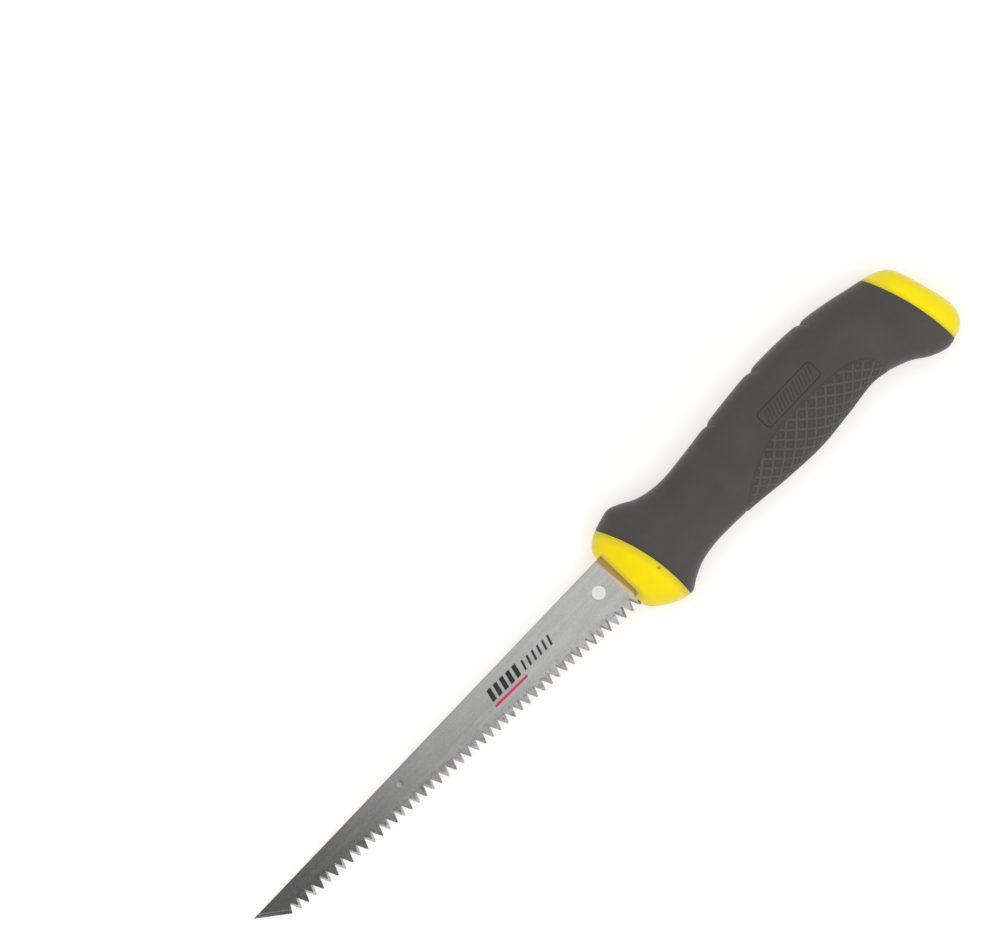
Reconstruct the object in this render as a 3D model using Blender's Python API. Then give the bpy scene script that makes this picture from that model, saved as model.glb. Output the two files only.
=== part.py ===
"""Drywall saw: a fixed, tapered plunge blade in a moulded two-colour handle.

The saw lies on its side, as on a bench. +X runs from the blade's tip to the butt of the handle,
+Y points to the blade's spine, and the teeth point to -Y. The origin is under the middle of the saw,
on the surface that it lies on.

The shape is drawn in millimetres in the blade's own coordinates: x from the tip, y from the straight
spine (teeth below it) and z from the blade's middle plane. place() turns those into the part's frame.
"""

import math

import bmesh
import bpy
from mathutils import Vector

MM = 0.001

# Driving dimensions, in millimetres.
LENGTH = 297.5  # tip to butt
SPINE_ABOVE_MIDDLE = 12.9  # the spine's distance from the middle of the saw's height
HANDLE_HALF_THICKNESS = 14.3  # at the bolster and at the butt, on which the saw lies
GAP = 0.3  # between neighbouring pieces

BLADE_THICKNESS = 1.25
TOOTH_COUNT = 47
TOOTH_PITCH = 3.168  # 8 teeth to the inch
FIRST_TOOTH = (13.2, -8.88)
TOOTH_LINE_SLOPE = -0.0784  # the blade widens towards the handle
TOOTH_HALF_ANGLE = math.radians(25.5)
TOOTH_DEPTH = 3.3
FLEAM = 0.85  # how far the ground flank of a tooth runs across the blade
PLUNGE_CORNER = (9.95, -7.85)
PLUNGE_BEVEL = 1.4  # width of the ground facets along the plunge edge
HANG_HOLE = (152.2, -7.8)
HANG_HOLE_RADIUS = 2.3
CLAMP_PANEL = (60.0, 140.0)  # the stretch of the flat side that a clamp or a magnet would hold

TANG_START = 161.8
TANG_END = 225.0
TANG_TOP = -1.2
TANG_BOTTOM = -15.6
TANG_CORNER = 3.5
SHOULDER = 1.5  # the run over which the blade narrows to the tang
PIN_CENTRES = ((182.0, -8.8), (211.0, -8.8))
PIN_RADIUS = 2.0
PIN_HALF_LENGTHS = (8.6, 9.0)  # each ends just below the core's sides, under the grip

MOUTH_FRONT = 158.0  # an x in front of the bolster
RECESS_BACK = 161.2  # the hollow in the bolster's nose, beside the blade
RECESS_SPAN = (-0.1, -16.4)  # from the spine to the foot of the last tooth
RECESS_CORNER = 1.2
RECESS_FLARE = (0.2, 1.6)  # how much further up and down it reaches at the sides
RECESS_LEVELS = ((-12.0, 1.0), (-1.5, 0.0), (1.5, 0.0), (12.0, 1.0))  # z, and share of the flare

RUBBER = 3.0  # thickness of the grip over the core
FRONT_JOINT = (107.9, -22.5, 65.1)  # centre x, y and radius of the bolster's rear edge
REAR_JOINT = (200.6, -34.8, 89.4)  # the same for the butt's front edge
PAD_RISE = 0.2  # how far the palm pad stands proud
PAD_FOOT = -40.0  # a level below the handle
PAD_ARCH = (
    (200.0, -27.5),
    (203.6, -24.4),
    (211.0, -19.4),
    (220.0, -14.9),
    (231.0, -12.8),
    (246.0, -13.0),
    (258.5, -14.4),
    (265.6, -18.0),
    (267.6, -24.4),
    (267.8, -27.0),
)
BADGE_CENTRE = (240.7, -7.9)
BADGE_SIZE = (24.6, 6.6)
BADGE_CORNER = 1.5
BADGE_FLOOR = 13.5  # distance of the panel's floor from the middle plane
NOTCHES = ((214.9, 4.2), (237.2, 6.1), (259.2, 5.1))  # where each finger notch meets the back
NOTCH_RADIUS = 4.0
NOTCH_WIDTH = 0.6

SOCKET_START = (262.5, -11.0)  # the pocket for the end cap's spigot, on the handle's bent axis
SOCKET_TILT = math.radians(-15.0)
SOCKET_HALF_HEIGHT = 7.0
SOCKET_HALF_THICKNESS = 5.5
SOCKET_CORNER = 3.0
SOCKET_LENGTH = 40.0  # runs out through the back of the core
SPIGOT_START = 1.0
SPIGOT_END = 28.0  # inside the end cap
THROUGH = 40.0  # half of a cutter's depth where it runs right through the handle
FAR_SIDE = 100.0  # an x well in front of the handle, behind a joint's arc

# The handle's sections: the section's end on the spine side, its end on the teeth side, half of its
# thickness, and how square it is (2 is an ellipse).
SECTIONS = (
    ((159.75, -4.0), (159.5, -14.5), 2.6, 2.0),
    ((159.7, 0.8), (159.4, -19.8), 5.2, 2.1),
    ((160.3, 2.95), (160.0, -22.0), 7.6, 2.2),
    ((162.1, 4.8), (162.0, -24.15), 10.0, 2.3),
    ((165.4, 6.7), (165.6, -26.75), 12.4, 2.4),
    ((169.4, 7.9), (169.6, -28.6), 13.8, 2.5),
    ((173.5, 8.65), (173.4, -29.25), 14.3, 2.5),
    ((177.6, 7.0), (177.4, -27.1), 13.7, 2.5),
    ((182.0, 4.5), (182.0, -25.1), 12.7, 2.5),
    ((187.5, 3.05), (187.5, -24.0), 12.0, 2.5),
    ((194.0, 2.6), (194.0, -23.7), 11.8, 2.5),
    ((206.0, 3.65), (206.0, -24.3), 12.4, 2.5),
    ((221.0, 5.4), (221.0, -26.0), 13.4, 2.6),
    ((236.0, 6.5), (236.0, -26.9), 14.0, 2.6),
    ((250.0, 6.4), (250.0, -25.8), 14.0, 2.6),
    ((262.0, 5.3), (263.0, -24.7), 13.6, 2.6),
    ((271.0, 3.6), (274.0, -28.0), 13.6, 2.6),
    ((277.2, 2.05), (280.6, -32.2), 14.0, 2.6),
    ((282.0, 0.95), (286.3, -34.45), 14.3, 2.6),
    ((285.8, 0.0), (290.5, -33.85), 14.1, 2.6),
    ((288.9, -1.35), (293.3, -32.95), 13.3, 2.5),
    ((291.3, -3.2), (295.6, -31.1), 12.0, 2.4),
    ((292.9, -6.0), (297.0, -28.4), 9.8, 2.3),
    ((294.2, -10.0), (297.5, -24.6), 6.4, 2.2),
)
STEPS_PER_SECTION = 2
RING_POINTS = 36


def place(x, y, z):
    """A point of the blade's own coordinates, in the part's frame and in metres."""
    return Vector((x - LENGTH / 2, y + SPINE_ABOVE_MIDDLE, z + HANDLE_HALF_THICKNESS)) * MM


def clear_scene():
    for thing in list(bpy.data.objects):
        bpy.data.objects.remove(thing, do_unlink=True)


def material(name, colour, roughness, metallic=0.0):
    made = bpy.data.materials.new(name)
    made.use_nodes = True
    shader = made.node_tree.nodes["Principled BSDF"]
    shader.inputs["Base Color"].default_value = (*colour, 1.0)
    shader.inputs["Roughness"].default_value = roughness
    shader.inputs["Metallic"].default_value = metallic
    made.diffuse_color = (*colour, 1.0)
    return made


def mesh_object(name, rings, slot=None):
    """A closed body from rings of points with equal counts, with a face over each end."""
    build = bmesh.new()
    rows = [[build.verts.new(place(*point)) for point in ring] for ring in rings]
    for lower, upper in zip(rows, rows[1:]):
        for k in range(len(lower)):
            after = (k + 1) % len(lower)
            build.faces.new((lower[k], lower[after], upper[after], upper[k]))
    build.faces.new(list(reversed(rows[0])))
    build.faces.new(rows[-1])
    bmesh.ops.recalc_face_normals(build, faces=build.faces)
    mesh = bpy.data.meshes.new(name)
    build.to_mesh(mesh)
    build.free()
    body = bpy.data.objects.new(name, mesh)
    bpy.context.scene.collection.objects.link(body)
    if slot:
        mesh.materials.append(slot)
    return body


def prism(name, outline, half_depth, middle=0.0, slot=None):
    """An outline in the blade's plane, run through the saw's thickness."""
    levels = (middle - half_depth, middle + half_depth)
    return mesh_object(name, [[(x, y, z) for x, y in outline] for z in levels], slot)


def arc(centre, radius, start, end, steps):
    """Points of a circle, with its angles in degrees."""
    turn = [math.radians(start + (end - start) * k / steps) for k in range(steps + 1)]
    return [(centre[0] + radius * math.cos(t), centre[1] + radius * math.sin(t)) for t in turn]


def cut(body, cutter, operation="DIFFERENCE"):
    """Applies a Boolean to the body and removes the cutter."""
    step = body.modifiers.new("cut", "BOOLEAN")
    step.operation = operation
    step.solver = "EXACT"
    step.object = cutter
    bpy.context.view_layer.update()
    evaluated = body.evaluated_get(bpy.context.evaluated_depsgraph_get())
    result = bpy.data.meshes.new_from_object(evaluated)
    body.modifiers.remove(step)
    body.data = result
    bpy.data.objects.remove(cutter, do_unlink=True)


# The blade


def tooth_tip(k):
    run = k * TOOTH_PITCH
    return FIRST_TOOTH[0] + run, FIRST_TOOTH[1] + run * TOOTH_LINE_SLOPE


def last_flank_end():
    """The x at which the last tooth's rear flank meets the blade's lower edge."""
    return tooth_tip(TOOTH_COUNT - 1)[0] + TOOTH_DEPTH * math.tan(TOOTH_HALF_ANGLE)


def crossing(start, along, other, other_along):
    """Where two lines in the blade's plane cross, each given by a point and a direction."""
    start = Vector(start)
    along = Vector(along)
    across = Vector((-other_along[1], other_along[0]))
    step = across.dot(Vector(other) - start) / across.dot(along)
    return tuple(start + along * step)


def gullet(left_tip, left_inset, right_tip, right_inset):
    """Where the right flank of one tooth meets the left flank of the next."""
    lean = math.tan(TOOTH_HALF_ANGLE)
    left = (left_tip[0] - left_inset, left_tip[1])
    right = (right_tip[0] + right_inset, right_tip[1])
    return crossing(left, (lean, 1), right, (-lean, 1))


def tooth_row(first_inset):
    """Gullets and tips on one face. Every second tooth has its flanks ground back on that face."""
    insets = [FLEAM if k % 2 == first_inset else 0.0 for k in range(TOOTH_COUNT)]
    points = []
    for k in range(TOOTH_COUNT):
        tip = tooth_tip(k)
        before = tooth_tip(k - 1)
        previous_inset = insets[k - 1] if k else 0.0
        points.append(gullet(before, previous_inset, tip, insets[k]))
        points.append((tip[0], tip[1] + insets[k] / math.tan(TOOTH_HALF_ANGLE)))
    return points


def blade_outline(first_inset, bevel):
    """The blade's outline on one face, from the tip along the teeth and back along the spine."""
    back = bevel * math.hypot(*PLUNGE_CORNER) / -PLUNGE_CORNER[1]
    last = tooth_tip(TOOTH_COUNT - 1)
    row = tooth_row(first_inset)
    rise = Vector(row[0]) - Vector(PLUNGE_CORNER)
    outline = [
        (back, 0.0),
        crossing((back, 0.0), PLUNGE_CORNER, PLUNGE_CORNER, rise),
        *row,
        (last_flank_end(), last[1] + TOOTH_DEPTH),
        (TANG_START, last[1] + TOOTH_DEPTH),
        (TANG_START + SHOULDER, TANG_BOTTOM),
        (TANG_END - TANG_CORNER, TANG_BOTTOM),
        (TANG_END, TANG_BOTTOM + TANG_CORNER),
        (TANG_END, TANG_TOP - TANG_CORNER),
        (TANG_END - TANG_CORNER, TANG_TOP),
        (TANG_START + SHOULDER, TANG_TOP),
        (TANG_START, 0.0),
    ]
    return outline


def make_blade(steel):
    """Three layers: the two faces, and the middle plane in which the plunge edge is sharp."""
    half = BLADE_THICKNESS / 2
    faces = [blade_outline(0, PLUNGE_BEVEL), blade_outline(1, PLUNGE_BEVEL)]
    sharp = [blade_outline(0, 0.0), blade_outline(1, 0.0)]
    middle = [((a + c) / 2, (b + d) / 2) for (a, b), (c, d) in zip(*sharp)]
    layers = ((faces[1], -half), (middle, 0.0), (faces[0], half))
    blade = mesh_object("blade", [[(x, y, z) for x, y in ring] for ring, z in layers], steel)
    cut(blade, prism("hole", arc(HANG_HOLE, HANG_HOLE_RADIUS, 0, 352.5, 47), BLADE_THICKNESS))
    for centre in PIN_CENTRES:
        cut(blade, pin_body("hole", centre, PIN_RADIUS + GAP, BLADE_THICKNESS))
    mark_panel(blade)
    return blade


def mark_panel(blade):
    """Edges across the blade at both ends of the clamp panel, so that it has faces of its own."""
    build = bmesh.new()
    build.from_mesh(blade.data)
    for x in CLAMP_PANEL:
        parts = [*build.verts, *build.edges, *build.faces]
        bmesh.ops.bisect_plane(build, geom=parts, plane_co=place(x, 0, 0), plane_no=(1, 0, 0))
    build.to_mesh(blade.data)
    build.free()


# The handle


def spline(before, start, end, after, t):
    """A point between start and end on a Catmull-Rom curve."""
    return (
        2 * start
        + (end - before) * t
        + (2 * before - 5 * start + 4 * end - after) * t * t
        + (3 * start - before - 3 * end + after) * t * t * t
    ) / 2


def handle_section(position):
    """The section at a position counted in sections, as six numbers."""
    flat = [(*top, *bottom, thickness, power) for top, bottom, thickness, power in SECTIONS]
    last = len(flat) - 1
    k = min(int(position), last - 1)
    near = [flat[max(0, min(last, k + step))] for step in (-1, 0, 1, 2)]
    return [spline(*column, position - k) for column in zip(*near)]


def handle_ring(position, inset):
    """One ring of the handle, made smaller all round by the inset."""
    top_x, top_y, bottom_x, bottom_y, thickness, power = handle_section(position)
    middle = Vector(((top_x + bottom_x) / 2, (top_y + bottom_y) / 2))
    reach = Vector((top_x, top_y)) - middle
    reach *= 1 - inset / reach.length
    ring = []
    for k in range(RING_POINTS):
        turn = 2 * math.pi * k / RING_POINTS
        along = math.copysign(abs(math.cos(turn)) ** (2 / power), math.cos(turn))
        across = math.copysign(abs(math.sin(turn)) ** (2 / power), math.sin(turn))
        spot = middle + reach * along
        ring.append((spot.x, spot.y, (thickness - inset) * across))
    return ring


def handle_body(name, inset, first=0, last=len(SECTIONS) - 1, slot=None):
    count = (last - first) * STEPS_PER_SECTION
    positions = [first + (last - first) * k / count for k in range(count + 1)]
    return mesh_object(name, [handle_ring(p, inset) for p in positions], slot)


def in_front_of(joint, shift=0.0):
    """Everything on the blade's side of a joint's arc, with the arc moved by shift."""
    x, y, radius = joint
    curve = arc((x + shift, y), radius, -30, 50, 24)
    return prism("joint", [*curve, (FAR_SIDE, curve[-1][1]), (FAR_SIDE, curve[0][1])], THROUGH)


def pad_outline():
    """The palm pad on the teeth side: an arch, closed well below the handle."""
    steps = 5
    curve = []
    for before, start, end, after in zip(PAD_ARCH, PAD_ARCH[1:], PAD_ARCH[2:], PAD_ARCH[3:]):
        for k in range(steps):
            curve.append(tuple(spline(*column, k / steps) for column in zip(before, start, end, after)))
    return [(PAD_ARCH[1][0], PAD_FOOT), *curve, PAD_ARCH[-2], (PAD_ARCH[-2][0], PAD_FOOT)]


def stadium(centre, size, radius, steps=6):
    """A rectangle with round corners."""
    outline = []
    for corner, (sign_x, sign_y) in enumerate(((1, 1), (-1, 1), (-1, -1), (1, -1))):
        spot = (
            centre[0] + sign_x * (size[0] / 2 - radius),
            centre[1] + sign_y * (size[1] / 2 - radius),
        )
        outline += arc(spot, radius, 90 * corner, 90 * corner + 90, steps)
    return outline


def notch_outline(start):
    """A thin crescent that runs from the handle's back down towards the butt."""
    centre = (start[0] + NOTCH_RADIUS, start[1] + NOTCH_RADIUS / 6)
    outer = arc(centre, NOTCH_RADIUS, 165, 224, 8)
    inner = arc(centre, NOTCH_RADIUS - NOTCH_WIDTH, 220, 165, 8)
    return outer + inner


def socket_body(name, shrink, start, end):
    """The spigot's pocket, or with a shrink the spigot, along the bent axis of the butt."""
    along = Vector((math.cos(SOCKET_TILT), math.sin(SOCKET_TILT)))
    up = Vector((-along.y, along.x))
    half_height = SOCKET_HALF_HEIGHT - shrink
    half_thickness = SOCKET_HALF_THICKNESS - shrink
    sides = stadium((0, 0), (2 * half_height, 2 * half_thickness), SOCKET_CORNER - shrink)
    rings = []
    for distance in (start, end):
        centre = Vector(SOCKET_START) + along * distance
        rings.append([(*(centre + up * a), b) for a, b in sides])
    return mesh_object(name, rings)


def pin_body(name, centre, radius, half_length, slot=None):
    return prism(name, arc(centre, radius, 0, 345, 23), half_length, slot=slot)


def make_recess():
    """The hollow in the bolster's nose that the blade comes out of, wider towards the sides."""
    top_flare, bottom_flare = RECESS_FLARE
    rings = []
    for z, share in RECESS_LEVELS:
        top = RECESS_SPAN[0] + share * top_flare
        bottom = RECESS_SPAN[1] - share * bottom_flare
        spot = (RECESS_BACK - RECESS_CORNER, bottom + RECESS_CORNER)
        corner = arc(spot, RECESS_CORNER, 270, 360, 3)
        outline = [(MOUTH_FRONT, top), (MOUTH_FRONT, bottom), *corner, (RECESS_BACK, top)]
        rings.append([(x, y, z) for x, y in outline])
    return mesh_object("recess", rings)


def make_core(yellow):
    """The bolster in full size, and behind it the stem that the grip is moulded over."""
    core = handle_body("handle_core", 0.0, slot=yellow)
    cut(core, in_front_of(FRONT_JOINT), "INTERSECT")
    cut(core, make_recess())
    stem = handle_body("stem", RUBBER, first=4)
    cut(stem, in_front_of(REAR_JOINT, -GAP), "INTERSECT")
    cut(core, stem, "UNION")
    slot_half = BLADE_THICKNESS / 2 + GAP
    last = tooth_tip(TOOTH_COUNT - 1)
    root = last[1] + TOOTH_DEPTH - 2 * GAP
    mouth = [
        (MOUTH_FRONT, GAP),
        (MOUTH_FRONT, last[1] - 2 * GAP),
        (last[0], last[1] - 2 * GAP),
        (last_flank_end() + 2 * GAP, root),
        (TANG_START + SHOULDER + GAP, root),
        (TANG_START + SHOULDER + GAP, GAP),
    ]
    cut(core, prism("mouth", mouth, slot_half))
    inside = [
        (TANG_START, TANG_TOP + GAP),
        (TANG_START, TANG_BOTTOM - GAP),
        (TANG_END + GAP, TANG_BOTTOM - GAP),
        (TANG_END + GAP, TANG_TOP + GAP),
    ]
    cut(core, prism("inside", inside, slot_half))
    for centre in PIN_CENTRES:
        cut(core, pin_body("hole", centre, PIN_RADIUS + GAP, THROUGH))
    cut(core, socket_body("pocket", 0.0, 0.0, SOCKET_LENGTH))
    return core


def make_grip(rubber):
    """The soft sleeve between the two joints, with its pad, badge panel and finger notches."""
    last = len(SECTIONS) - 1
    grip = handle_body("grip", 0.0, slot=rubber)
    pad = handle_body("pad", -PAD_RISE, first=9, last=17)
    cut(pad, prism("arch", pad_outline(), THROUGH), "INTERSECT")
    cut(grip, pad, "UNION")
    cut(grip, in_front_of(FRONT_JOINT, GAP))
    cut(grip, in_front_of(REAR_JOINT, -GAP), "INTERSECT")
    for side in (-1, 1):
        panel = stadium(BADGE_CENTRE, BADGE_SIZE, BADGE_CORNER)
        cut(grip, prism("panel", panel, THROUGH / 2, side * (BADGE_FLOOR + THROUGH / 2)))
    for start in NOTCHES:
        cut(grip, prism("notch", notch_outline(start), THROUGH))
    cut(grip, handle_body("hollow", RUBBER - GAP, first=3, last=last))
    return grip


def make_end_cap(yellow):
    cap = handle_body("end_cap", 0.0, first=15, slot=yellow)
    cut(cap, in_front_of(REAR_JOINT))
    cut(cap, socket_body("spigot", GAP, SPIGOT_START, SPIGOT_END), "UNION")
    return cap


def make_pins(steel):
    for k, (centre, half_length) in enumerate(zip(PIN_CENTRES, PIN_HALF_LENGTHS), start=1):
        pin_body(f"tang_pin_{k}", centre, PIN_RADIUS, half_length, steel)


def main():
    clear_scene()
    steel = material("blade_steel", (0.42, 0.42, 0.43), 0.35, 1.0)
    pin_steel = material("pin_steel", (0.55, 0.55, 0.56), 0.3, 1.0)
    yellow = material("yellow_plastic", (0.94, 0.74, 0.01), 0.35)
    cap_yellow = material("cap_plastic", (0.95, 0.79, 0.01), 0.35)
    rubber = material("black_rubber", (0.05, 0.048, 0.046), 0.7)
    make_blade(steel)
    make_core(yellow)
    make_pins(pin_steel)
    make_grip(rubber)
    make_end_cap(cap_yellow)


main()
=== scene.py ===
"""The looks of the drywall saw: its finished meshes, materials, floor, light and camera.

Shapes are drawn in millimetres in the blade's own coordinates: x from the tip, y from the straight
spine (the teeth are below it) and z from the blade's middle plane. place() puts them into the frame.
"""

import math

import bmesh
import bpy
import numpy as np
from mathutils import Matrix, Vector


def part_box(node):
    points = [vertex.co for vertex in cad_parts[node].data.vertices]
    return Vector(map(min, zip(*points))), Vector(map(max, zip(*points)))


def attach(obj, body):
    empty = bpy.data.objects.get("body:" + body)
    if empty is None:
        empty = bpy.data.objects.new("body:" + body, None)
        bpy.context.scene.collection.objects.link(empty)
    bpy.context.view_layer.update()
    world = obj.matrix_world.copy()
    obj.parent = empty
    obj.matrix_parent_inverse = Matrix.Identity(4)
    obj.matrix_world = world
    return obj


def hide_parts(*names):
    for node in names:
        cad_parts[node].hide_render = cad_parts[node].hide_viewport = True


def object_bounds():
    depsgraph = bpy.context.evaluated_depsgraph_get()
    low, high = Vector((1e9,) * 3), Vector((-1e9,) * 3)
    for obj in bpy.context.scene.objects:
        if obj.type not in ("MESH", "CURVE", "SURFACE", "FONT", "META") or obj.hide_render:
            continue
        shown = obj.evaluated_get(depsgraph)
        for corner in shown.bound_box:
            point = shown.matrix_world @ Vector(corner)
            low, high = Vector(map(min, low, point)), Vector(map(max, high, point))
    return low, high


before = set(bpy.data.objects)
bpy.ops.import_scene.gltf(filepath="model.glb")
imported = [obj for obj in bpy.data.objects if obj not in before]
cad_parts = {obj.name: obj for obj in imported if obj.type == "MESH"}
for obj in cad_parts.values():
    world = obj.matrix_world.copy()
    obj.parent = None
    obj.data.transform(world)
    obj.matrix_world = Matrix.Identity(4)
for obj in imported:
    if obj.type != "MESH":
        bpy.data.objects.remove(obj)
CAD_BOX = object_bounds()

MM = 0.001
BLADE_LOW, BLADE_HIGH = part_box("blade")
ORIGIN = (BLADE_LOW[0], BLADE_HIGH[1], (BLADE_LOW[2] + BLADE_HIGH[2]) / 2)

# The blade, as in the CAD model.
HALF_BLADE = (BLADE_HIGH[2] - BLADE_LOW[2]) / MM / 2
TOOTH_COUNT = 47
TOOTH_PITCH = 3.168
FIRST_TOOTH = (13.2, -8.88)
TOOTH_LINE_SLOPE = -0.0784
TOOTH_HALF_ANGLE = math.radians(25.5)
TOOTH_DEPTH = 3.3
FLEAM = 0.7  # how far the flanks of every second tooth are ground back on one face
TIP_SHAPE = ((-0.45, 0.6), (-0.15, 0.08), (0.15, 0.08), (0.45, 0.6))  # from a tip's point
PLUNGE_CORNER = (9.95, -7.85)
PLUNGE_BEVEL = 1.4
SPINE_CHAMFER = 0.14
HANG_HOLE = (152.2, -7.8)
HANG_HOLE_RADIUS = 2.3
TANG_START = 161.8
SHOULDER = 1.5
TANG_END = 225.0
TANG_TOP = -1.2
TANG_BOTTOM = -15.6
TANG_CORNER = 3.5
PIN_CENTRES = ((182.0, -8.8), (211.0, -8.8))
PIN_RADIUS = 2.0
MOUTH_FRONT = 158.0  # an x in front of the bolster
RECESS_BACK = 161.2  # the hollow in the bolster's nose, beside the blade
RECESS_SPAN = (-0.1, -16.4)  # from the spine to the foot of the last tooth
RECESS_CORNER = 1.2
RECESS_FLARE = (0.2, 1.6)  # how much further up and down it reaches at the sides
RECESS_LEVELS = ((-12.0, 1.0), (-1.5, 0.0), (1.5, 0.0), (12.0, 1.0))  # z, and share of the flare
CLEARANCE = 0.08  # between finished pieces
BLADE_SHARP = 12.0  # degrees: the blade's edges over this stay crisp

# Marks on the finished surfaces.
DIMPLE = (63.8, -3.9)
SCRATCH = (62.6, -1.6)
NICK = (20.9, -2.0)
GATE_MARK = (171.3, -16.0, 13.9)  # a small dark spot on the bolster

# The handle, as in the CAD model: each section's end on the spine side, its end on the teeth side,
# half of its thickness, and how square it is (2 is an ellipse).
SECTIONS = (
    ((159.75, -4.0), (159.5, -14.5), 2.6, 2.0),
    ((159.7, 0.8), (159.4, -19.8), 5.2, 2.1),
    ((160.3, 2.95), (160.0, -22.0), 7.6, 2.2),
    ((162.1, 4.8), (162.0, -24.15), 10.0, 2.3),
    ((165.4, 6.7), (165.6, -26.75), 12.4, 2.4),
    ((169.4, 7.9), (169.6, -28.6), 13.8, 2.5),
    ((173.5, 8.63), (173.4, -29.25), 14.28, 2.5),
    ((177.6, 7.0), (177.4, -27.1), 13.7, 2.5),
    ((182.0, 4.5), (182.0, -25.1), 12.7, 2.5),
    ((187.5, 3.05), (187.5, -24.0), 12.0, 2.5),
    ((194.0, 2.6), (194.0, -23.7), 11.8, 2.5),
    ((206.0, 3.65), (206.0, -24.3), 12.4, 2.5),
    ((221.0, 5.4), (221.0, -26.0), 13.4, 2.6),
    ((236.0, 6.5), (236.0, -26.9), 14.0, 2.6),
    ((250.0, 6.4), (250.0, -25.8), 14.0, 2.6),
    ((262.0, 5.3), (263.0, -24.7), 13.6, 2.6),
    ((271.0, 3.6), (274.0, -28.0), 13.6, 2.6),
    ((277.2, 2.05), (280.6, -32.2), 14.0, 2.6),
    ((282.0, 0.95), (286.3, -34.37), 14.28, 2.6),
    ((285.8, 0.0), (290.5, -33.85), 14.1, 2.6),
    ((288.9, -1.35), (293.3, -32.95), 13.3, 2.5),
    ((291.3, -3.2), (295.6, -31.1), 12.0, 2.4),
    ((292.9, -6.0), (297.0, -28.4), 9.8, 2.3),
    ((294.2, -10.0), (297.5, -24.6), 6.4, 2.2),
)
SECTION_VALUES = np.array([(*top, *bottom, half, power) for top, bottom, half, power in SECTIONS])
LAST_SECTION = len(SECTIONS) - 1
STEM_INSET = 3.0  # the core's stem, under the grip
HOLLOW_INSET = 2.9  # the grip's inside
POCKET_INSET = 6.4  # the end cap's socket in the core
PLUG_INSET = 6.6
PLUG_TIP = 266.0
POCKET_END = 265.0
# Each joint is an arc: its centre's x and y, its radius, and two sections that it lies between.
FRONT_JOINT = (107.9, -22.5, 65.1, 2.0, 9.0)
REAR_JOINT = (200.6, -34.8, 89.4, 15.5, 21.0)
PLASTIC_EDGE = 0.22  # radii of the rounded edges at the joints
RUBBER_EDGE = 0.32
BODY_POINTS = 160  # points round the core and the end cap

# The palm pad: an arch seen from the side, and the diamond lattice that fills it.
PAD_ARCH = (
    (200.0, -27.5),
    (203.6, -24.4),
    (211.0, -19.4),
    (220.0, -14.9),
    (231.0, -12.8),
    (246.0, -13.0),
    (258.5, -14.4),
    (265.6, -18.0),
    (267.6, -24.4),
    (267.8, -27.0),
)
PAD_FOOT = -40.0  # a y below the whole handle
PAD_STEP = -0.12  # the level of the pad's ground, from the grip's plain surface
PAD_GROOVE = 0.16  # the depth of the groove round the pad
DIAMOND_LENGTH = 4.735  # a diamond's diagonals, along the handle and round it
DIAMOND_GIRTH = 4.55
DIAMOND_STEPS = 16  # mesh steps along each diagonal, so that ridges run along the mesh
DIAMOND_PHASE = 226.5  # x at the middle of one diamond
DIAMOND_SIDE = DIAMOND_LENGTH * DIAMOND_GIRTH / math.hypot(DIAMOND_LENGTH, DIAMOND_GIRTH)
DIAMOND_PROFILE = (  # distance from the nearest ridge's middle, height
    (0.0, 0.31),
    (0.22, 0.3),
    (0.55, 0.02),
    (0.95, 0.0),
    (1.15, 0.14),
    (1.7, 0.16),
)
FINE_START = 203.0  # the fine part of the grip's mesh, in x
FINE_END = 268.6
FINE_GIRTH = 23.0  # how far it runs round from the teeth side's line
BACK_ROWS = 28  # rows on each side between the fine part and the back line
COARSE_COLUMN = 0.75  # the step of the columns outside the fine part

NOTCHES = (214.5, 236.7, 259.0)  # where each finger notch crosses the back
NOTCH_BAND = 0.62  # how far from a notch its own columns take the place of the even ones
NOTCH_REACH = 11.0  # how far a notch runs round from the back line, on each side
NOTCH_HOOKS = (2.6, 1.9, 2.0)  # how far each notch's ends trail towards the butt
NOTCH_PROFILE = (  # distance behind the notch's line, height
    (-2.6, 0.0),
    (-1.6, -0.12),
    (-0.8, -0.38),
    (-0.35, -0.6),
    (-0.12, -0.8),
    (0.0, -0.85),
    (0.15, -0.68),
    (0.45, -0.5),
    (1.0, -0.25),
    (1.6, -0.06),
    (2.2, 0.0),
)
NOTCH_COLUMNS = (-0.58, -0.45, -0.35, -0.22, -0.12, -0.05, 0.0, 0.07, 0.15, 0.3, 0.45, 0.58)

BADGE_CENTRE = (240.0, -7.75)
BADGE_SIZE = (24.6, 6.6)
BADGE_CORNER = 1.5

WORLD_LEAN = (0.0, -0.27, 0.0)  # how much brighter the surround is towards x and y


def place(points):
    """Points of the blade's own coordinates, in the frame and in metres."""
    return np.asarray(points, float) * MM + np.array(ORIGIN)


def smooth_step(value):
    held = np.clip(value, 0.0, 1.0)
    return held * held * (3 - 2 * held)


# Meshes


def add_object(name, data):
    """An object with its data, in the scene."""
    thing = bpy.data.objects.new(name, data)
    bpy.context.scene.collection.objects.link(thing)
    return thing


def finish_mesh(name, vertices, faces, looks, sharp=35.0):
    """An object with outward normals and smooth shading, from vertices in the blade's coordinates."""
    mesh = bpy.data.meshes.new(name)
    mesh.from_pydata(place(vertices).tolist(), [], faces)
    build = bmesh.new()
    build.from_mesh(mesh)
    bmesh.ops.recalc_face_normals(build, faces=build.faces)
    build.to_mesh(mesh)
    build.free()
    thing = add_object(name, mesh)
    for look in looks:
        mesh.materials.append(look)
    shade(thing, sharp)
    return thing


def shade(thing, sharp):
    """Smooth shading, with edges over an angle in degrees kept crisp."""
    thing.data.shade_smooth()
    thing.data.set_sharp_from_angle(angle=math.radians(sharp))


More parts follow.
